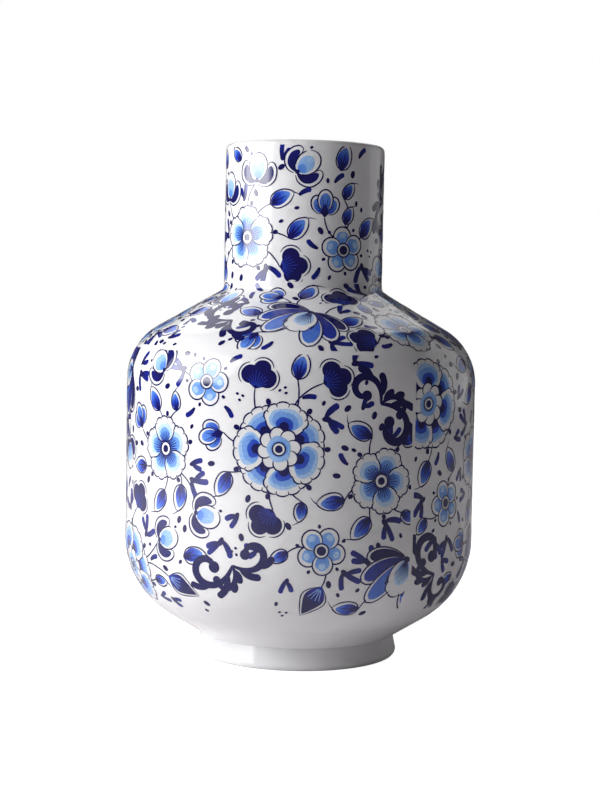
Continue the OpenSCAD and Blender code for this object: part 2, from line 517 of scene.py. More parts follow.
def double_flower(pen, r):
    """A large flower of seven lobed petals round a small flower of eight round ones."""
    for k in (0, 2, 4, 6, 1, 3, 5):
        big_petal(pen.at(0, 0, 360 / 7 * k), r, r * 0.92)
    for k in range(7):
        spot(pen.at(0, 0, 360 / 7 * (k + 0.5)), 0, r * 1.0, r * 0.055)
    for k in range(8):
        p = pen.at(0, 0, 45 * k)
        p.fill(oval(0, r * 0.3, r * 0.15, r * 0.15, 0, 24), WHITE)
        p.stroke(round_line(0, r * 0.3, r * 0.155, -130, 130, 22), LINE)
    wash(pen, 0, 0, r * 0.26, r * 0.26, 0.36, 0.3)
    wash(pen, 0, 0, r * 0.18, r * 0.18, 0.46, 0.38)
    ringed_core(pen, r * 0.13, r * 0.135, r * 0.08, (24, 26, 20))


PETAL_PEAK = 0.68  # where a bent petal is widest, as a share of its length


def round_tip(t):
    """Half width of a bent petal along its length, as a share of the widest. Its tip is round."""
    if t < PETAL_PEAK:
        return math.sin(math.pi / 2 * t / PETAL_PEAK) ** 0.9
    return math.sqrt(max(0.0, 1 - ((t - PETAL_PEAK) / (1 - PETAL_PEAK)) ** 2))


def bent_petal(pen, length, heading, bend, width, ink, edge):
    """A long curved petal: a pale margin, an outline and a coloured inside."""
    def outer(t):
        return width * round_tip(t)

    line = bent(length, heading, bend, 24)
    left, right = both_sides(line, outer)
    pen.band(left, right, WHITE)
    middle = bent(length * 0.93, heading, bend * 0.93, 24)
    inner_left, inner_right = both_sides(middle, lambda t: 0.78 * outer(t))
    pen.band(inner_left, inner_right, ink, focus=(0, 0), reach=length, edge=edge)
    pen.stroke(left[1:] + right[:1:-1], LINE, start=0.6, end=0.6)


# Heading, bend, length, half width, ink at the foot and ink at the tip of each pair of petals
LOTUS_PAIRS = [
    (94, -34, 0.84, 0.15, NAVY, 0.95),
    (66, -30, 0.98, 0.185, 0.9, 0.72),
    (36, -22, 1.06, 0.2, 0.64, 0.5),
]
HEART_CUSPS = [(-0.03, 0.02), (-0.23, 0.5), (-0.13, 0.68), (0.13, 0.68), (0.23, 0.5), (0.03, 0.02)]
HEART_LOBES = [0.12, 0.05, 0.06, 0.05, 0.12]
HEART_WASHES = [(0.27, 0.17, 0.22, 0.3, 0.22), (0.2, 0.1, 0.13, 0.4, 0.3)]


def lotus(pen, size):
    """A half-open bloom seen from the side: three pairs of petals behind a striped white heart."""
    for heading, bend, length, width, ink, edge in LOTUS_PAIRS:
        for side in (-1, 1):
            bent_petal(pen, size * length, side * heading, side * bend, size * width, ink, edge)
    for side in (-1, 1):
        dark = bent(size * 0.62, side * 50, -side * 46)
        pen.stroke(dark, size * 0.08, 0.96, swell=lambda t: math.sin(math.pi * (0.08 + 0.86 * t)) ** 0.6)
    lobed_petal(pen, size, HEART_CUSPS, HEART_LOBES, HEART_WASHES)
    for i in range(-4, 5):
        reach = size * (0.44 - 0.02 * abs(i) + hand.uniform(-0.04, 0.04))
        ray(pen, i * 6.5, size * 0.04, reach, size * 0.024, 0.95, 0.7, 0.5)
    pen.fill(oval(0, size * 0.01, size * 0.08, size * 0.05), NAVY)


# Right half of a bud of size 1
BUD_PETAL = [(0.0, 0.0), (0.2, -0.08), (0.42, -0.05), (0.58, 0.12), (0.62, 0.34), (0.54, 0.52), (0.43, 0.5),
             (0.36, 0.32), (0.26, 0.16), (0.12, 0.06)]
BUD_MARGIN = [(0.05, -0.09), (0.26, -0.17), (0.52, -0.1), (0.7, 0.1), (0.73, 0.4), (0.62, 0.63), (0.46, 0.66),
              (0.39, 0.55)]


def tulip_bud(pen, size):
    """A closed bud: a pale bulb held between two dark side petals that flare at their ends."""
    for side in (-1, 1):
        margin = smooth([(x * side * size, y * size) for x, y in BUD_MARGIN])
        pen.fill(margin + [(0, 0.2 * size)], WHITE)
        pen.stroke(margin, LINE, start=0.6)
        petal = smooth([(x * side * size, y * size) for x, y in BUD_PETAL], closed=True)
        pen.fill(petal, NAVY, focus=(0, 0), reach=size, edge=0.88)
    pen.fill(oval(0, size * 0.5, size * 0.37, size * 0.45, 0, 32), WHITE)
    wash(pen, 0, size * 0.41, size * 0.26, size * 0.31, 0.4, 0.28)
    wash(pen, size * 0.03, size * 0.22, size * 0.16, size * 0.14, 0.52, 0.42)
    ring = oval(0, size * 0.5, size * 0.37, size * 0.45, 0, 40)
    pen.stroke(ring[33:] + ring[:16], LINE)
    pen.stroke(ring[17:27], LINE)
    spot(pen, 0, size * 0.03, size * 0.08, 1.0)
    spot(pen, -size * 0.32, size * 0.9, size * 0.05, 1.2)


def fan_bud(pen, size):
    """A dark bud of three lobes with royal stripes at its foot, inside a broken pale margin."""
    lobes = [(-0.3, 0.42, 0.31), (0.3, 0.42, 0.31), (0.03, 0.68, 0.3)]
    for x, y, r in lobes:
        pen.fill(oval(x * size, y * size, (r + 0.09) * size, (r + 0.09) * size, 0, 30), WHITE)
    for (x, y, r), (start, end) in zip(lobes, ((-150, -20), (30, 150), (-62, 70))):
        pen.stroke(round_line(x * size, y * size, (r + 0.085) * size, start, end, 18), LINE * 0.85)
    for x, y, r in lobes:
        dark = oval(x * size, y * size, r * size, r * size, 0, 28)
        pen.fill(dark, NAVY, focus=(0, 0), reach=size, edge=0.97)
    pen.fill(scaled([(0, 0), (-0.4, 0.2), (-0.2, 0.55), (0.2, 0.55), (0.4, 0.2)], size), 0.97)
    for i in range(-4, 5):
        reach = 0.6 - 0.035 * abs(i) + hand.uniform(-0.04, 0.04)
        ray(pen, i * 13, size * 0.12, size * reach, size * 0.05, 0.74, 0.5, 0.4)


# Middle, half width, half height and tilt
BLUE_BUD_LOBES = [(-0.24, 0.45, 0.26, 0.33, -24), (0.26, 0.43, 0.26, 0.33, 26), (0, 0.62, 0.28, 0.37, 0)]


def blue_bud(pen, size):
    """A blue bud of three lobes, veined with dark strokes from its foot."""
    for x, y, rx, ry, tilt in BLUE_BUD_LOBES:
        pen.fill(oval(x * size, y * size, rx * size, ry * size, tilt), WHITE)
        inner = oval(x * size * 0.9, y * size * 0.92, rx * size * 0.74, ry * size * 0.8, tilt)
        pen.fill(inner, 0.72, focus=(0, 0), reach=size * 0.9, edge=0.42)
        ring = oval(x * size, y * size, rx * size, ry * size, tilt, 26)
        pen.stroke(ring[20:] + ring[:20], LINE)
    dark = [(0, 0), (-0.16, 0.16), (-0.05, 0.42), (0, 0.5), (0.05, 0.42), (0.16, 0.16)]
    pen.fill(scaled(dark, size), NAVY, focus=(0, 0), reach=size * 0.6, edge=0.8)
    for heading, reach in ((-36, 0.55), (-20, 0.5), (-8, 0.78), (8, 0.7), (20, 0.52), (36, 0.58)):
        ray(pen, heading, size * 0.15, size * reach, size * 0.045, NAVY, 0.8, 0.3)


def leaf(pen, length, width):
    """A pointed leaf with a pale margin, dark at its foot. The left of its outline runs on past the tip."""
    half = width / 2
    left = smooth([(0, 0), (-half * 0.75, length * 0.15), (-half, length * 0.42),
                   (-half * 0.82, length * 0.72), (-half * 0.35, length * 0.93), (0, length)], steps=4)
    right = [(-x, y) for x, y in left]
    pen.band(left, right, WHITE)
    tilt = -width * 0.05
    inner = smooth([(0, 0), (-half * 0.72 + tilt, length * 0.3), (-half * 0.66 + tilt, length * 0.62),
                    (tilt, length * 0.86), (half * 0.64 + tilt, length * 0.6),
                    (half * 0.74 + tilt, length * 0.28)], closed=True, steps=5)
    pen.fill(inner, 0.95, focus=(0, 0), reach=length * 0.9, edge=0.42)
    for heading, reach in ((-17, 0.52), (0, 0.7), (18, 0.5)):
        ray(pen, heading, 0, length * reach, width * 0.14, NAVY, 1, 0.2)
    past = [(width * 0.12, length * 1.08), (width * 0.42, length * 1.2)]
    pen.stroke(left[:-2] + smooth([left[-1]] + past), LINE * 0.95, start=0.8, end=0.2)
    pen.stroke(right, LINE * 0.95, start=0.8)


def dark_leaf_bud(pen, length, width):
    """A pointed dark bud with light stripes at its foot and a thin outline round it."""
    half = width / 2
    side = smooth([(0, 0), (-half * 0.8, length * 0.22), (-half, length * 0.45), (-half * 0.45, length * 0.8),
                   (0, length)])
    other = [(-x, y) for x, y in side]
    pen.band(side, other, WHITE)
    pen.stroke(side, LINE * 0.8)
    pen.stroke(other, LINE * 0.8)
    inner = [(x * 0.8, y * 0.94) for x, y in side]
    pen.band(inner, [(-x, y) for x, y in inner], ROYAL, focus=(0, 0), reach=length * 0.6, edge=NAVY)
    for heading in (-22, -8, 8, 22):
        ray(pen, heading, length * 0.1, length * 0.42, width * 0.05, SOFT, 0.6, 0.4)


# Strokes of a sprig, by how many it has: x, y, heading, length and bend
SPRIGS = {
    2: [(0.0, 0.0, 14, 1.1, -24), (-0.05, 0.2, -56, 0.76, 30)],
    3: [(0.0, 0.0, 6, 1.12, 22), (-0.04, 0.1, -68, 0.92, 42), (0.06, 0.26, 56, 0.74, -14)],
}


def sprig(pen, size, lobes=3, thick=2.9):
    """Thick brush strokes that leave one short stem and cup towards each other."""
    side = hand.choice((-1, 1))
    for x, y, heading, length, bend in SPRIGS[lobes]:
        length *= size * hand.uniform(0.94, 1.06)
        start = pen.at(side * x * size, y * size, 0)
        way = side * heading + hand.uniform(-6, 6)
        club(start, length, way, side * bend, 1.5, 1.12 * thick * hand.uniform(0.9, 1.1))
    stem = oval(0, 0.17 * size, 0.09 * size + 0.5, 0.2 * size + 0.3)
    pen.fill(stem, 0.98, focus=(0, 0), reach=size, edge=0.9)


def comma(pen, size, bend):
    """A single thick brush stroke."""
    club(pen, size, 0, bend, 1.3, 2.8)


def dots(pen):
    """Three dabs in a triangle."""
    for x, y in ((-1.7, -0.8), (0.2, 1.9), (1.9, -0.5)):
        spot(pen, x, y, 0.72, 1.35, hand.uniform(20, 60))


def swelling(thin, peak, end):
    """Width of a scroll's branch as a share of the widest: thin at its root, 1 at peak and end at its tip."""
    def width(t):
        if t < peak:
            return thin + (1 - thin) * math.sin(math.pi / 2 * t / peak)
        return end + (1 - end) * math.cos(math.pi / 2 * (t - peak) / (1 - peak))
    return width


def winding(length, heading, total, count=40):
    """A line that curves more and more sharply along its length, by total degrees in all."""
    points = [(0.0, 0.0)]
    for i in range(count):
        way = math.radians(heading + total * ((i + 0.5) / count) ** 1.7)
        x, y = points[-1]
        points.append((x + length / count * math.sin(way), y + length / count * math.cos(way)))
    return points


# Heading, length, turn in all and width of each branch
SCROLL_BRANCHES = [(-58, 0.95, -300, 0.1), (34, 1.25, 320, 0.115), (-10, 0.6, 200, 0.085)]


def scroll(pen, size):
    """A dark scroll: branches that wind up to a ball, with round lobes along their outer side."""
    for heading, length, total, width in SCROLL_BRANCHES:
        line = winding(size * length, heading, total)
        pen.stroke(line, size * width, NAVY, swell=swelling(0.3, 0.6, 0.6))
        x, y = line[-1]
        pen.fill(oval(x, y, size * width * 0.7, size * width * 0.7, 0, 22), NAVY)
        side = math.copysign(1, total)
        for share in (0.14, 0.4):
            i = int(share * len(line))
            (ax, ay), (bx, by) = line[i], line[i + 1]
            way = math.degrees(math.atan2(bx - ax, by - ay))
            lobe_pen = pen.at(ax, ay, way - side * 40)
            reach = size * length * (0.36 - 0.25 * share)
            club(lobe_pen, reach, 0, side * 66, size * 0.05, size * 0.1, NAVY, NAVY)


# ---------------------------------------------------------------------------------------------------
# The sheets, and what is printed on them
# ---------------------------------------------------------------------------------------------------

# Names that end in SEAM or TURN are in degrees, and the others in millimetres
SEAM_GAP = 2.0
BODY_SEAM = 39.6
BODY_TURN = 120.0
SHOULDER_SEAM = 94.0
SHOULDER_TURN = 180.0
NECK_SEAM = -180.0
NECK_TURN = 360.0
SEAM_Z = 181.5
BODY_Z = (37.0, SEAM_Z - SEAM_GAP / 2)
SHOULDER_Z = (SEAM_Z + SEAM_GAP / 2, 219.4)
NECK_Z = (219.8, VASE_H - 3.2)
SHOULDER_MIDDLE_R = 75


def window(start, turn, r):
    """Degrees between two upright seams, less half the bare strip at each."""
    half_gap = math.degrees(SEAM_GAP / 2 / r)
    return start + half_gap, start + turn - half_gap


def body_sheet(node, name, start):
    """One of the three sheets round the barrel."""
    return Sheet(node, name, window(start, BODY_TURN, BODY_R), BODY_Z, BODY_R)


def shoulder_sheet(node, name, start):
    """One of the two sheets round the shoulder."""
    return Sheet(node, name, window(start, SHOULDER_TURN, SHOULDER_MIDDLE_R), SHOULDER_Z, SHOULDER_MIDDLE_R)


front = body_sheet("body_transfer_3", "front", BODY_SEAM - BODY_TURN)
right = body_sheet("body_transfer_1", "right", BODY_SEAM)
back = body_sheet("body_transfer_2", "back", BODY_SEAM + BODY_TURN)
shoulder_front = shoulder_sheet("shoulder_transfer_2", "shoulder_front", SHOULDER_SEAM - SHOULDER_TURN)
shoulder_back = shoulder_sheet("shoulder_transfer_1", "shoulder_back", SHOULDER_SEAM)
neck = Sheet("neck_transfer", "neck", window(NECK_SEAM, NECK_TURN, NECK_R), NECK_Z, NECK_R)
SHEETS = [front, right, back, shoulder_front, shoulder_back, neck]


TRIES = 110  # places tried for each motif
EDGE_SHARE = 0.7  # of its room that a motif's middle keeps from the sheet's top and bottom
SIDE_SHARE = 0.3  # of that, which it keeps from the sheet's sides
AIM_SPREAD = 40  # degrees that any motif but a flower may turn from pointing straight away from one
STALK_REACH = 17.0  # widest gap that a stalk bridges, in millimetres
STALK_SHARE = 0.72  # of the way to the flower's middle that a stalk runs


class Kind:
    """A kind of motif: the function that draws it, with sizes after the pen, and the piece it belongs to.

    In millimetres, room is its radius, lift how far its middle is from its foot, and tight the least gap
    round it. A tight below zero lets it overlap its neighbours.
    """

    def __init__(self, motif, piece, sizes, room, lift=0.0, tight=0.8):
        self.motif = motif
        self.piece = piece
        self.sizes = sizes
        self.room = room
        self.lift = lift
        self.tight = tight


def dab(pen, r):
    """A small long dab."""
    spot(pen, 0, 0, r, 1.5)


DOUBLE_FLOWER = Kind(double_flower, "double_flower", (26,), 27, tight=-1)
SMALL_DOUBLE_FLOWER = Kind(double_flower, "double_flower", (23,), 24, tight=-1)
LOTUS = Kind(lotus, "lotus", (31,), 21.5, 13, tight=-1.5)
SCROLL = Kind(scroll, "scrolls", (41,), 18, 15, tight=-1)
FIVE_PETAL = Kind(five_petal, "five_petal", (18.5,), 19, tight=-0.5)
ROUND_FLOWER = Kind(round_flower, "round_flower", (13.5,), 14, tight=0)
TULIP_BUD = Kind(tulip_bud, "buds", (17,), 10.5, 7.5, tight=0)
FAN_BUD = Kind(fan_bud, "buds", (16.5,), 9.5, 8.5, tight=0)
DARK_BUD = Kind(dark_leaf_bud, "buds", (22, 14), 10, 11, tight=-0.5)
BLUE_BUD = Kind(blue_bud, "buds", (16,), 9, 8, tight=0)
LEAF = Kind(leaf, "leaves", (15.5, 9.6), 7.4, 7.8, tight=-0.2)
SMALL_LEAF = Kind(leaf, "leaves", (11, 7), 5.4, 5.5, tight=-0.2)
SPRIG = Kind(sprig, "fillers", (11.5, 3), 5.6, 5.5, tight=-0.2)
SMALL_SPRIG = Kind(sprig, "fillers", (8.5, 2, 2.6), 4.0, 4.2, tight=-0.2)
COMMA = Kind(comma, "fillers", (8, 46), 3.2, 4, tight=0)
DOTS = Kind(dots, "fillers", (), 3.0, tight=0.6)
DAB = Kind(dab, "fillers", (1.5,), 1.6, tight=0.5)
SMALL_DAB = Kind(dab, "fillers", (1.0,), 1.1, tight=0.5)

FLOWERS = (DOUBLE_FLOWER, SMALL_DOUBLE_FLOWER, LOTUS, FIVE_PETAL, ROUND_FLOWER)
ON_STALKS = (TULIP_BUD, FAN_BUD, DARK_BUD, BLUE_BUD, LEAF, SMALL_LEAF)
SMALL_ONES = [(LEAF, 12), (SMALL_LEAF, 6), (SPRIG, 14), (SMALL_SPRIG, 10), (COMMA, 8), (DOTS, 4), (DAB, 24),
              (SMALL_DAB, 16)]
BODY_MIX = [(DOUBLE_FLOWER, 2), (LOTUS, 2), (SCROLL, 2), (FIVE_PETAL, 2), (ROUND_FLOWER, 2), (TULIP_BUD, 4),
            (DARK_BUD, 2), (FAN_BUD, 4), (BLUE_BUD, 3)] + SMALL_ONES
SHOULDER_MIX = [(SMALL_DOUBLE_FLOWER, 1), (LOTUS, 2), (SCROLL, 1), (FIVE_PETAL, 1), (ROUND_FLOWER, 1),
                (TULIP_BUD, 1), (FAN_BUD, 2), (BLUE_BUD, 2)] + SMALL_ONES
NECK_MIX = [(FIVE_PETAL, 3), (SCROLL, 2), (ROUND_FLOWER, 4), (TULIP_BUD, 5), (FAN_BUD, 3),
            (BLUE_BUD, 3)] + SMALL_ONES


class Plant:
    """One motif in its place on a sheet. Its middle is at x along the sheet and s up the outline.

    squeeze is the length on the vase of one millimetre along the sheet.
    """

    def __init__(self, kind, sheet, x, s):
        self.kind = kind
        self.sheet = sheet
        self.x = x
        self.s = s
        self.squeeze = PICTURE.at(s)[0].x / sheet.middle_r
        self.aim = 0.0

    def to(self, other):
        """The way to another plant, in millimetres on the vase."""
        return Vector(((other.x - self.x) * self.squeeze, other.s - self.s))

    def foot(self):
        """Angle round the vase and height of the motif's foot."""
        turn = math.radians(self.aim)
        x = self.x - self.kind.lift * math.cos(turn) / self.squeeze
        s = min(max(self.s - self.kind.lift * math.sin(turn), 0.0), PICTURE.length)
        return math.degrees(x / self.sheet.middle_r), PICTURE.at(s)[0].y

    def draw(self):
        pen = Pen(self.sheet, self.kind.piece, *self.foot(), self.aim)
        self.kind.motif(pen, *self.kind.sizes)


def choose_place(kind, sheet, plants, chance):
    """The place with the most room around it among those tried, or None when the motif doesn't fit."""
    left, right = (math.radians(angle) * sheet.middle_r for angle in sheet.theta)
    low, high = sheet.s
    inset = EDGE_SHARE * kind.room
    side = SIDE_SHARE * inset
    best, widest = None, kind.tight
    for _ in range(TRIES):
        x = chance.uniform(left + side, right - side)
        plant = Plant(kind, sheet, x, chance.uniform(low + inset, high - inset))
        gaps = [plant.to(other).length - kind.room - other.kind.room for other in plants]
        gap = min(gaps, default=kind.room)
        if gap > widest:
            best, widest = plant, gap
    return best


def fill_sheet(sheet, mix, seed):
    """Spreads motifs over a sheet, the large ones first, and joins leaves and buds to flowers near them."""
    chance = random.Random(seed)
    plants = []
    for kind, count in mix:
        for _ in range(count):
            plant = choose_place(kind, sheet, plants, chance)
            if plant is None:
                continue
            flowers = [other for other in plants if other.kind in FLOWERS]
            plant.aim = chance.uniform(0, 360)
            if kind not in FLOWERS and flowers:
                near = min(flowers, key=lambda other: plant.to(other).length - other.kind.room)
                away = plant.to(near)
                straight = math.degrees(math.atan2(-away.y, -away.x))
                plant.aim = straight + chance.uniform(-AIM_SPREAD, AIM_SPREAD)
                gap = away.length - near.kind.room - kind.room
                if kind in ON_STALKS and gap < STALK_REACH:
                    draw_stalk(plant, near, chance)
            plants.append(plant)
    for plant in reversed(plants):
        plant.draw()


def draw_stalk(plant, flower, chance):
    """A thin curved stalk from a leaf's or a bud's foot to under the flower."""
    theta, z = plant.foot()
    foot = Plant(plant.kind, plant.sheet, math.radians(theta) * plant.sheet.middle_r, PICTURE.s_at(z))
    way = foot.to(flower) * STALK_SHARE
    side = Vector((-way.y, way.x)) * chance.uniform(0.12, 0.22) * chance.choice((-1, 1))
    middle = way * 0.5 + side
    pen = Pen(plant.sheet, "stalks", theta, z)
    low, high = way * 0.2 + side * 0.6, way * 0.8 + side * 0.6
    line = smooth([(0, 0), tuple(low), tuple(middle), tuple(high), tuple(way)])
    pen.stroke(line, LINE, start=0.8, end=0.5)


fill_sheet(front, BODY_MIX, 27)
fill_sheet(right, BODY_MIX, 22)
fill_sheet(back, BODY_MIX, 23)
fill_sheet(shoulder_front, SHOULDER_MIX, 31)
fill_sheet(shoulder_back, SHOULDER_MIX, 32)
fill_sheet(neck, NECK_MIX, 41)


# ---------------------------------------------------------------------------------------------------
# Materials
# ---------------------------------------------------------------------------------------------------

def linear(r, g, b):
    """A colour given in the 0-255 steps of a screen, as light."""
    def channel(c):
        c /= 255
        return c / 12.92 if c <= 0.04045 else ((c + 0.055) / 1.055) ** 2.4
    return channel(r), channel(g), channel(b), 1.0


class Material:
    """A node material with one Principled shader."""

    def __init__(self, name, roughness, ior=1.5):
        self.data = bpy.data.materials.new(name)
        self.data.use_nodes = True
        self.tree = self.data.node_tree
        self.shader = self.tree.nodes["Principled BSDF"]
        self.shader.inputs["Roughness"].default_value = roughness
        self.shader.inputs["IOR"].default_value = ior

    def node(self, kind, values=None, **settings):
        node = self.tree.nodes.new(kind)
        for key, value in settings.items():
            setattr(node, key, value)
        for key, value in (values or {}).items():
            node.inputs[key].default_value = value
        return node

    def link(self, source, target):
        self.tree.links.new(source, target)

    def noise(self, scale, detail=3.0, stretch=(1, 1, 1), coordinates="Object", rough=0.5):
        place = self.node("ShaderNodeTexCoord")
        mapping = self.node("ShaderNodeMapping", {"Scale": stretch})
        noise = self.node("ShaderNodeTexNoise", {"Scale": scale, "Detail": detail, "Roughness": rough})
        self.link(place.outputs[coordinates], mapping.inputs["Vector"])
        self.link(mapping.outputs["Vector"], noise.inputs["Vector"])
        return noise.outputs["Fac"]

    def ramp(self, factor, stops):
        ramp = self.node("ShaderNodeValToRGB")
        elements = ramp.color_ramp.elements
        while len(elements) < len(stops):
            elements.new(0.5)
        for element, (position, colour) in zip(elements, stops):
            element.position = position
            element.color = colour
        self.link(factor, ramp.inputs["Fac"])
        return ramp.outputs["Color"]

    def math(self, operation, a, b):
        node = self.node("ShaderNodeMath", operation=operation)
        for value, socket in ((a, node.inputs[0]), (b, node.inputs[1])):
            if isinstance(value, (int, float)):
                socket.default_value = value
            else:
                self.link(value, socket)
        return node.outputs["Value"]

    def range(self, value, low, high):
        node = self.node("ShaderNodeMapRange", {"To Min": low, "To Max": high})
        self.link(value, node.inputs["Value"])
        return node.outputs["Result"]

    def colour(self, output):
        self.link(output, self.shader.inputs["Base Color"])

    def bump(self, height, distance, strength):
        bump = self.node("ShaderNodeBump", {"Distance": distance, "Strength": strength})
        self.link(height, bump.inputs["Height"])
        self.link(bump.outputs["Normal"], self.shader.inputs["Normal"])


GLAZE_WHITE = linear(236, 236, 238)
GLAZE_IOR = 1.62


def glaze_material():
    """Glossy white glaze: faint clouding, tiny dips and a surface that isn't quite even."""
    glaze = Material("white_glaze", 0.07, GLAZE_IOR)
    clouds = glaze.noise(18, 4, rough=0.6)
    whites = [(0.3, linear(233, 234, 236)), (0.62, GLAZE_WHITE), (0.8, linear(240, 240, 238))]
    glaze.colour(glaze.ramp(clouds, whites))
    glaze.link(glaze.range(glaze.noise(60, 2), 0.055, 0.095), glaze.shader.inputs["Roughness"])
    glaze.bump(glaze.noise(38, 2), 0.00012, 0.5)
    return glaze.data


def print_material():
    """Blue ink fused under the gloss. Its strength comes from the drawing, with brush and kiln unevenness."""
    ink = Material("blue_print", 0.075, GLAZE_IOR)
    drawn = ink.node("ShaderNodeAttribute", attribute_name="ink").outputs["Fac"]
    streaks = ink.noise(1.0, 2, (1.1, 0.16, 1), "UV", 0.6)
    blotches = ink.noise(420, 3, rough=0.6)
    uneven = ink.math("ADD", ink.range(streaks, -0.09, 0.09), ink.range(blotches, -0.07, 0.07))
    share = ink.math("MULTIPLY", uneven, ink.math("SUBTRACT", 1.15, drawn))
    strength = ink.math("ADD", drawn, share)
    ink.colour(ink.ramp(strength, [
        (0.0, GLAZE_WHITE), (0.14, linear(214, 231, 248)), (0.26, linear(174, 206, 243)),
        (0.36, linear(130, 175, 236)), (0.46, linear(92, 140, 226)), (0.64, linear(42, 76, 192)),
        (0.8, linear(26, 38, 140)), (0.97, linear(20, 19, 84)),
    ]))
    return ink.data


def clay_material():
    """Bare fired clay: warm off-white, matt, with fine grains and a few dark specks."""
    clay = Material("bare_clay", 0.85, 1.45)
    grains = clay.noise(900, 5, rough=0.7)
    clay.colour(clay.ramp(grains, [(0.28, linear(186, 174, 156)), (0.4, linear(222, 213, 198)),
                                   (0.7, linear(232, 225, 212))]))
    clay.link(clay.range(clay.noise(300, 3), 0.75, 0.95), clay.shader.inputs["Roughness"])
    clay.bump(clay.noise(1400, 4, rough=0.7), 0.00015, 0.6)
    return clay.data


def slip_material():
    """Slip in the joints: the same clay, smoother and a little darker."""
    slip = Material("slip", 0.8, 1.45)
    slip.colour(slip.ramp(slip.noise(500, 4), [(0.3, linear(196, 183, 164)), (0.7, linear(214, 202, 184))]))
    slip.bump(slip.noise(700, 3), 0.0001, 0.5)
    return slip.data


GLAZE = glaze_material()
PRINT = print_material()
CLAY = clay_material()
SLIP = slip_material()


# ---------------------------------------------------------------------------------------------------
# Meshes
# ---------------------------------------------------------------------------------------------------

def add_piece(name, points, faces, normals, material, nodes):
    """Makes a piece of the vase that stands for CAD nodes. Points are in millimetres."""
    mesh = bpy.data.meshes.new(name)
    mesh.from_pydata([p * MM for p in points], [], faces)
    mesh.materials.append(material)
    mesh.shade_smooth()
    mesh.normals_split_custom_set_from_vertices(normals)
    piece = bpy.data.objects.new(name, mesh)
    bpy.context.scene.collection.objects.link(piece)
    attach(piece, "root")
    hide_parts(*nodes)
    return piece


def around(radius, height, theta):
    """A point at theta degrees to the right of the front."""
    a = math.radians(theta)
    return Vector((radius * math.sin(a), -radius * math.cos(a), height))


TURNS = 288
COARSE_STEP = 3.0
FINE_STEP = 0.6
SMALL_BEND = 5  # bends with a smaller radius than this have the fine step


def lathe(name, stretches, node):
    """Turns an outline into a smooth piece of glaze."""
    points, normals, faces = [], [], []
    for stretch in stretches:
        step = FINE_STEP if stretch.bends and stretch.radius < SMALL_BEND else COARSE_STEP
        count = max(1, round(stretch.length / step))
        for i in range(count + 1):
            place, way = stretch.at(stretch.length * i / count)
            first = len(points)
            for k in range(TURNS):
                theta = 360 * k / TURNS
                points.append(around(place.x, place.y, theta))
                normals.append(around(way.y, -way.x, theta))
            if i == 0:
                continue
            for k in range(TURNS):
                n = (k + 1) % TURNS
                faces.append((first - TURNS + k, first - TURNS + n, first + n, first + k))
    add_piece(name, points, faces, normals, GLAZE, [node])


def reversed_path(stretches):
    """The same outline run the other way."""
    back_way = []
    for stretch in reversed(stretches):
        if stretch.bends:
            start = math.degrees(stretch.start)
            turn = math.degrees(stretch.turn)
            back_way.append(Arc(stretch.centre, stretch.radius, start + turn, start))
        else:
            end = stretch.start + stretch.way * stretch.length
            back_way.append(Line(end, stretch.start))
    return back_way


FOOT_GLAZE_START = -70  # degrees round the foot's lower bend, where the glaze begins
FOOT_BEND = Vector((FOOT_R - 0.9, FOOT_WIDE_Z + 4.2))  # where the foot's side starts to lean in more
AXIS_R = 0.01  # the turned skins stop this far from the axis
RECESS_BEND_R = 2.0
RECESS_EDGE_Z = 3.0


def foot_outside():
    """Outside of the foot ring, from the standing edge up to the crease under the bowl."""
    low = Arc((FOOT_R - FOOT_WIDE_Z, FOOT_WIDE_Z), FOOT_WIDE_Z, FOOT_GLAZE_START, 0)
    return [low, Line(low.at(low.length)[0], FOOT_BEND), Line(FOOT_BEND, (FOOT_TOP_R, FOOT_H))]


def make_glaze():
    """The three skins of glaze: outside with the rim, inside, and under the foot."""
    lip_mid = (NECK_R + BORE_R) / 2
    rim_out = Arc((NECK_R - LIP_OUT_R, VASE_H - LIP_OUT_R), LIP_OUT_R, 0, 90)
    rim_in = Arc((BORE_R + LIP_IN_R, VASE_H - LIP_IN_R), LIP_IN_R, 90, 180)
    out = foot_outside() + [Line((FOOT_TOP_R, FOOT_H), PICTURE.at(0)[0])]
    out += PICTURE.stretches + [rim_out, Line((NECK_R - LIP_OUT_R, VASE_H), (lip_mid, VASE_H))]
    lathe("glaze_skin_outside", out, "glaze_outside")
    inner = bowl_and_barrel(GLAZE_IN, FLOOR_Z + GLAZE_T) + shoulder_and_neck(GLAZE_IN, VASE_H - LIP_IN_R)
    floor_edge = inner[0].start
    bore = [Line((lip_mid, VASE_H), (BORE_R + LIP_IN_R, VASE_H)), rim_in]
    bore += reversed_path(inner) + [Line(floor_edge, (AXIS_R, floor_edge.y))]
    lathe("glaze_skin_inside", bore, "glaze_inside")
    ceiling = RECESS_Z - GLAZE_T
    recess_r = FOOT_IN_R - GLAZE_T
    bend_r = recess_r - RECESS_BEND_R
    bend_z = ceiling - RECESS_BEND_R
    under = [
        Line((AXIS_R, ceiling), (bend_r, ceiling)),
        Arc((bend_r, bend_z), RECESS_BEND_R, 90, 0),
        Line((recess_r, bend_z), (recess_r, RECESS_EDGE_Z)),
        Line((recess_r, RECESS_EDGE_Z), (FOOT_IN_R, RECESS_EDGE_Z)),
    ]
    lathe("glaze_skin_underside", under, "glaze_underside")


make_glaze()

PRINT_LIFT = 0.09  # of the print above the glaze, in millimetres
GRID = 2.3  # spacing of the points inside large shapes, in millimetres
JITTER = 0.3  # shift of those points, as a share of the spacing
JOIN_WITHIN = 1e-5


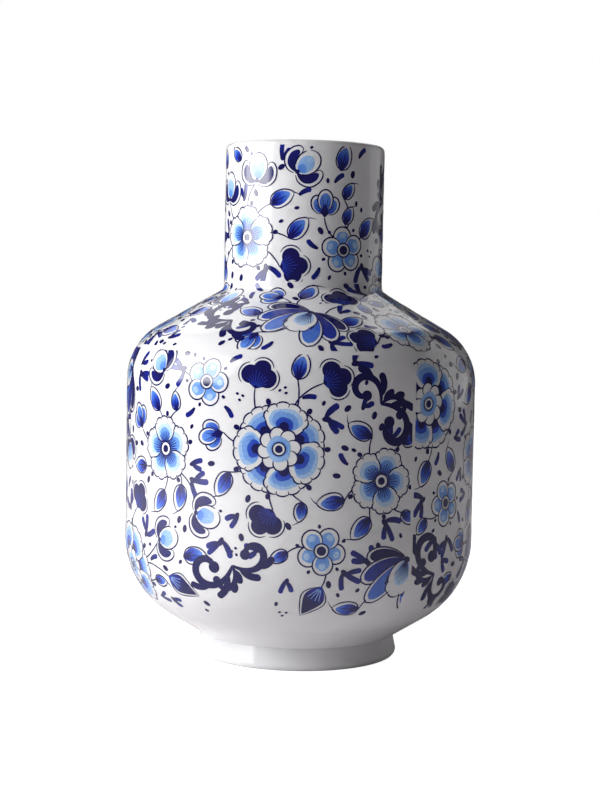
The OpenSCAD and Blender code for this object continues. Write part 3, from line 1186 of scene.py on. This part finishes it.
def inside(outline, xs, ys):
    """Which points lie inside an outline. Where the outline overlaps itself counts as inside."""
    ends = np.roll(outline, -1, axis=0)
    x0, y0, x1, y1 = outline[:, 0], outline[:, 1], ends[:, 0], ends[:, 1]
    x, y = xs[:, None], ys[:, None]
    side = (x1 - x0) * (y - y0) - (x - x0) * (y1 - y0)
    up = (y0 <= y) & (y1 > y) & (side > 0)
    down = (y0 > y) & (y1 <= y) & (side < 0)
    return up.sum(axis=1) != down.sum(axis=1)


def top_shapes(shapes, places):
    """Number of the shape that lies on top at each place, or -1."""
    order = np.argsort(places[:, 0])
    xs, ys = places[order, 0], places[order, 1]
    top = np.full(len(places), -1)
    for number, outline in shapes:
        first, last = np.searchsorted(xs, (outline[:, 0].min(), outline[:, 0].max()))
        near = np.arange(first, last)
        near = near[(ys[first:last] >= outline[:, 1].min()) & (ys[first:last] <= outline[:, 1].max())]
        top[order[near[inside(outline, xs[near], ys[near])]]] = number
    return top


def arrange(sheet):
    """Cuts a sheet's drawing into triangles, each of which shows only the shape on top."""
    low = sheet.flat(sheet.theta[0], sheet.s[0])
    high = sheet.flat(sheet.theta[1], sheet.s[1])
    border = [low, Vector((high.x, low.y)), high, Vector((low.x, high.y))]
    points, edges, outlines = [], [], []

    def add(outline):
        first, count = len(points), len(outline)
        points.extend(outline)
        edges.extend((first + i, first + (i + 1) % count) for i in range(count))

    add(border)
    for number, shape in enumerate(sheet.shapes):
        outline = np.array([tuple(p) for p in shape[1]])
        if (outline.max(axis=0) > tuple(low)).all() and (outline.min(axis=0) < tuple(high)).all():
            add(shape[1])
            outlines.append((number, outline))
    across = int((high.x - low.x) / GRID)
    up = int((high.y - low.y) / GRID)
    grid = []
    for i in range(1, across):
        for j in range(1, up):
            jitter = Vector((hand.uniform(-JITTER, JITTER), hand.uniform(-JITTER, JITTER))) * GRID
            grid.append(Vector((low.x + i * GRID, low.y + j * GRID)) + jitter)
    inks = np.array([shape[2] for shape in sheet.shapes] + [WHITE])
    painted = inks[top_shapes(outlines, np.array(grid))] > WHITE
    points.extend(p for p, inked in zip(grid, painted) if inked)
    flat, _, cells, *_ = geometry.delaunay_2d_cdt(points, edges, [], 0, JOIN_WITHIN, False)
    places = np.array(flat)
    middles = places[np.array(cells)].mean(axis=1)
    tops = top_shapes(outlines, middles)
    shown = (inks[tops] > WHITE) & (middles > tuple(low)).all(axis=1) & (middles < tuple(high)).all(axis=1)
    pieces = {}
    for k in np.flatnonzero(shown):
        pieces.setdefault(sheet.shapes[tops[k]][0].piece, []).append((cells[k], tops[k]))
    return flat, pieces


def ink_at(shape, flat):
    """Strength of a shape's ink at a point, and the brush's own coordinates there."""
    pen, _, ink, focus, reach, edge = shape
    x, y = pen.from_sheet(flat)
    if edge is not None:
        share = min(1.0, math.hypot(x - focus[0], y - focus[1]) / reach)
        ink += (edge - ink) * share
    return ink, (x, y)


def lay_print(sheet):
    """Makes the pieces of one printed sheet."""
    flat, pieces = arrange(sheet)
    for name, cells in sorted(pieces.items()):
        places, points, normals = {}, [], []
        faces, inks, brush = [], [], []
        for cell, top in cells:
            face = []
            for corner in cell:
                if corner not in places:
                    p = flat[corner]
                    point, way = PICTURE.at(min(max(p.y, 0.0), PICTURE.length))
                    theta = math.degrees(p.x / sheet.middle_r)
                    normal = Vector((way.y, -way.x))
                    lifted = point + normal * PRINT_LIFT
                    places[corner] = len(points)
                    points.append(around(lifted.x, lifted.y, theta))
                    normals.append(around(normal.x, normal.y, theta))
                face.append(places[corner])
                ink, stroke_place = ink_at(sheet.shapes[top], flat[corner])
                inks.append(ink)
                brush.append(stroke_place)
            faces.append(face)
        piece = add_piece(name, points, faces, normals, PRINT, [sheet.node])
        attribute = piece.data.attributes.new("ink", "FLOAT", "CORNER")
        attribute.data.foreach_set("value", inks)
        uv = piece.data.uv_layers.new(name="brush")
        uv.data.foreach_set("uv", [c for place in brush for c in place])


for printed in SHEETS:
    lay_print(printed)


def finish_node(node, material):
    """Gives a CAD node that stays in place its material."""
    for material_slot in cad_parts[node].material_slots:
        material_slot.material = material


for clay_node in ("foot_ring", "lower_body", "upper_body", "neck"):
    finish_node(clay_node, CLAY)
for slip_node in ("foot_lute", "belly_lute", "neck_lute"):
    finish_node(slip_node, SLIP)


# ---------------------------------------------------------------------------------------------------
# Floor, light and camera
# ---------------------------------------------------------------------------------------------------

def make_floor():
    """A wide pale floor."""
    turns = [math.tau * k / FLOOR_SIDES for k in range(FLOOR_SIDES)]
    ring = [Vector((FLOOR_R * math.cos(a), FLOOR_R * math.sin(a), 0)) for a in turns]
    mesh = bpy.data.meshes.new("floor")
    mesh.from_pydata(ring, [], [tuple(range(FLOOR_SIDES))])
    paper = Material("pale_floor", 0.9)
    paper.colour(paper.ramp(paper.noise(4, 2), [(0.3, linear(232, 229, 230)), (0.7, linear(236, 233, 234))]))
    paper.shader.inputs["Specular IOR Level"].default_value = 0.1
    paper.shader.inputs["Emission Color"].default_value = (1, 1, 1, 1)
    seen = paper.node("ShaderNodeLightPath").outputs["Is Camera Ray"]
    paper.link(paper.math("MULTIPLY", seen, FLOOR_GLOW), paper.shader.inputs["Emission Strength"])
    mesh.materials.append(paper.data)
    floor = bpy.data.objects.new("floor", mesh)
    bpy.context.scene.collection.objects.link(floor)


def softbox(name, azimuth, centre_z, distance, width, height, radiance, tilt_to=0.12):
    """A soft area light. Azimuth is degrees to the right of the front, and it faces the vase's axis."""
    light = bpy.data.lights.new(name, "AREA")
    light.shape = "RECTANGLE"
    light.size = width
    light.size_y = height
    light.energy = radiance * math.pi * width * height
    lamp = bpy.data.objects.new(name, light)
    lamp.location = around(distance, centre_z, azimuth + VIEW_TURN)
    aim = Vector((0, 0, tilt_to)) - lamp.location
    lamp.rotation_euler = aim.to_track_quat("-Z", "Y").to_euler()
    lamp.visible_camera = False
    bpy.context.scene.collection.objects.link(lamp)


def make_world():
    """White behind the vase for the camera, and a dim even room for everything else."""
    world = bpy.data.worlds.new("room")
    bpy.context.scene.world = world
    world.use_nodes = True
    tree = world.node_tree
    tree.nodes.clear()
    seen = tree.nodes.new("ShaderNodeBackground")
    seen.inputs["Color"].default_value = (1, 1, 1, 1)
    room = tree.nodes.new("ShaderNodeBackground")
    room.inputs["Color"].default_value = ROOM_TINT
    room.inputs["Strength"].default_value = ROOM_LIGHT
    path = tree.nodes.new("ShaderNodeLightPath")
    mix = tree.nodes.new("ShaderNodeMixShader")
    out = tree.nodes.new("ShaderNodeOutputWorld")
    tree.links.new(path.outputs["Is Camera Ray"], mix.inputs["Fac"])
    tree.links.new(room.outputs["Background"], mix.inputs[1])
    tree.links.new(seen.outputs["Background"], mix.inputs[2])
    tree.links.new(mix.outputs["Shader"], out.inputs["Surface"])


FLOOR_R = 6.0
FLOOR_SIDES = 64
FLOOR_GLOW = 0.95
ROOM_LIGHT = 0.08
ROOM_TINT = (1.0, 0.945, 0.975, 1)
VIEW_TURN = 2.6  # the picture is seen from this many degrees to the right of the front
WINDOW_WIDTH = 1.1
WINDOW_HEIGHT = 0.95
WINDOW_LAYERS = ((1.0, 2.2), (0.88, 2.8), (0.76, 3.4))  # share of the window's size, and radiance
CAMERA_DISTANCE = 0.977
CAMERA_HEIGHT = 0.2105
CAMERA_ASIDE = -0.0007
CAMERA_DOWN = 2.76
CAMERA_ROLL = 1.085
CAMERA_LENS = 74.06
CAMERA_SHIFT = -0.028


def make_camera():
    """The camera, at the photograph's viewing angle."""
    data = bpy.data.cameras.new("camera")
    data.sensor_width = 36
    data.lens = CAMERA_LENS
    data.shift_y = CAMERA_SHIFT
    data.clip_start = 0.01
    data.clip_end = 50
    camera = bpy.data.objects.new("camera", data)
    upright = Matrix.Rotation(math.radians(90 - CAMERA_DOWN), 4, "X")
    rolled = upright @ Matrix.Rotation(math.radians(CAMERA_ROLL), 4, "Z")
    placed = Matrix.Translation((CAMERA_ASIDE, -CAMERA_DISTANCE, CAMERA_HEIGHT)) @ rolled
    camera.matrix_world = Matrix.Rotation(math.radians(VIEW_TURN), 4, "Z") @ placed
    bpy.context.scene.collection.objects.link(camera)
    bpy.context.scene.camera = camera


def make_lights():
    """A window on the left that brightens towards its middle, a light from above, and a weak fill."""
    for layer, (share, radiance) in enumerate(WINDOW_LAYERS):
        softbox(f"window_{layer}", azimuth=-72, centre_z=0.6, distance=1.1 + 0.01 * layer,
                width=WINDOW_WIDTH * share, height=WINDOW_HEIGHT * share, radiance=radiance, tilt_to=0.2)
    softbox("overhead", azimuth=186, centre_z=1.3, distance=1.3, width=1.6, height=0.9, radiance=1.15)
    softbox("side_fill", azimuth=122, centre_z=0.5, distance=1.2, width=0.7, height=0.9, radiance=0.5)


make_floor()
make_world()
make_lights()
make_camera()
bpy.context.scene.view_settings.view_transform = "Standard"
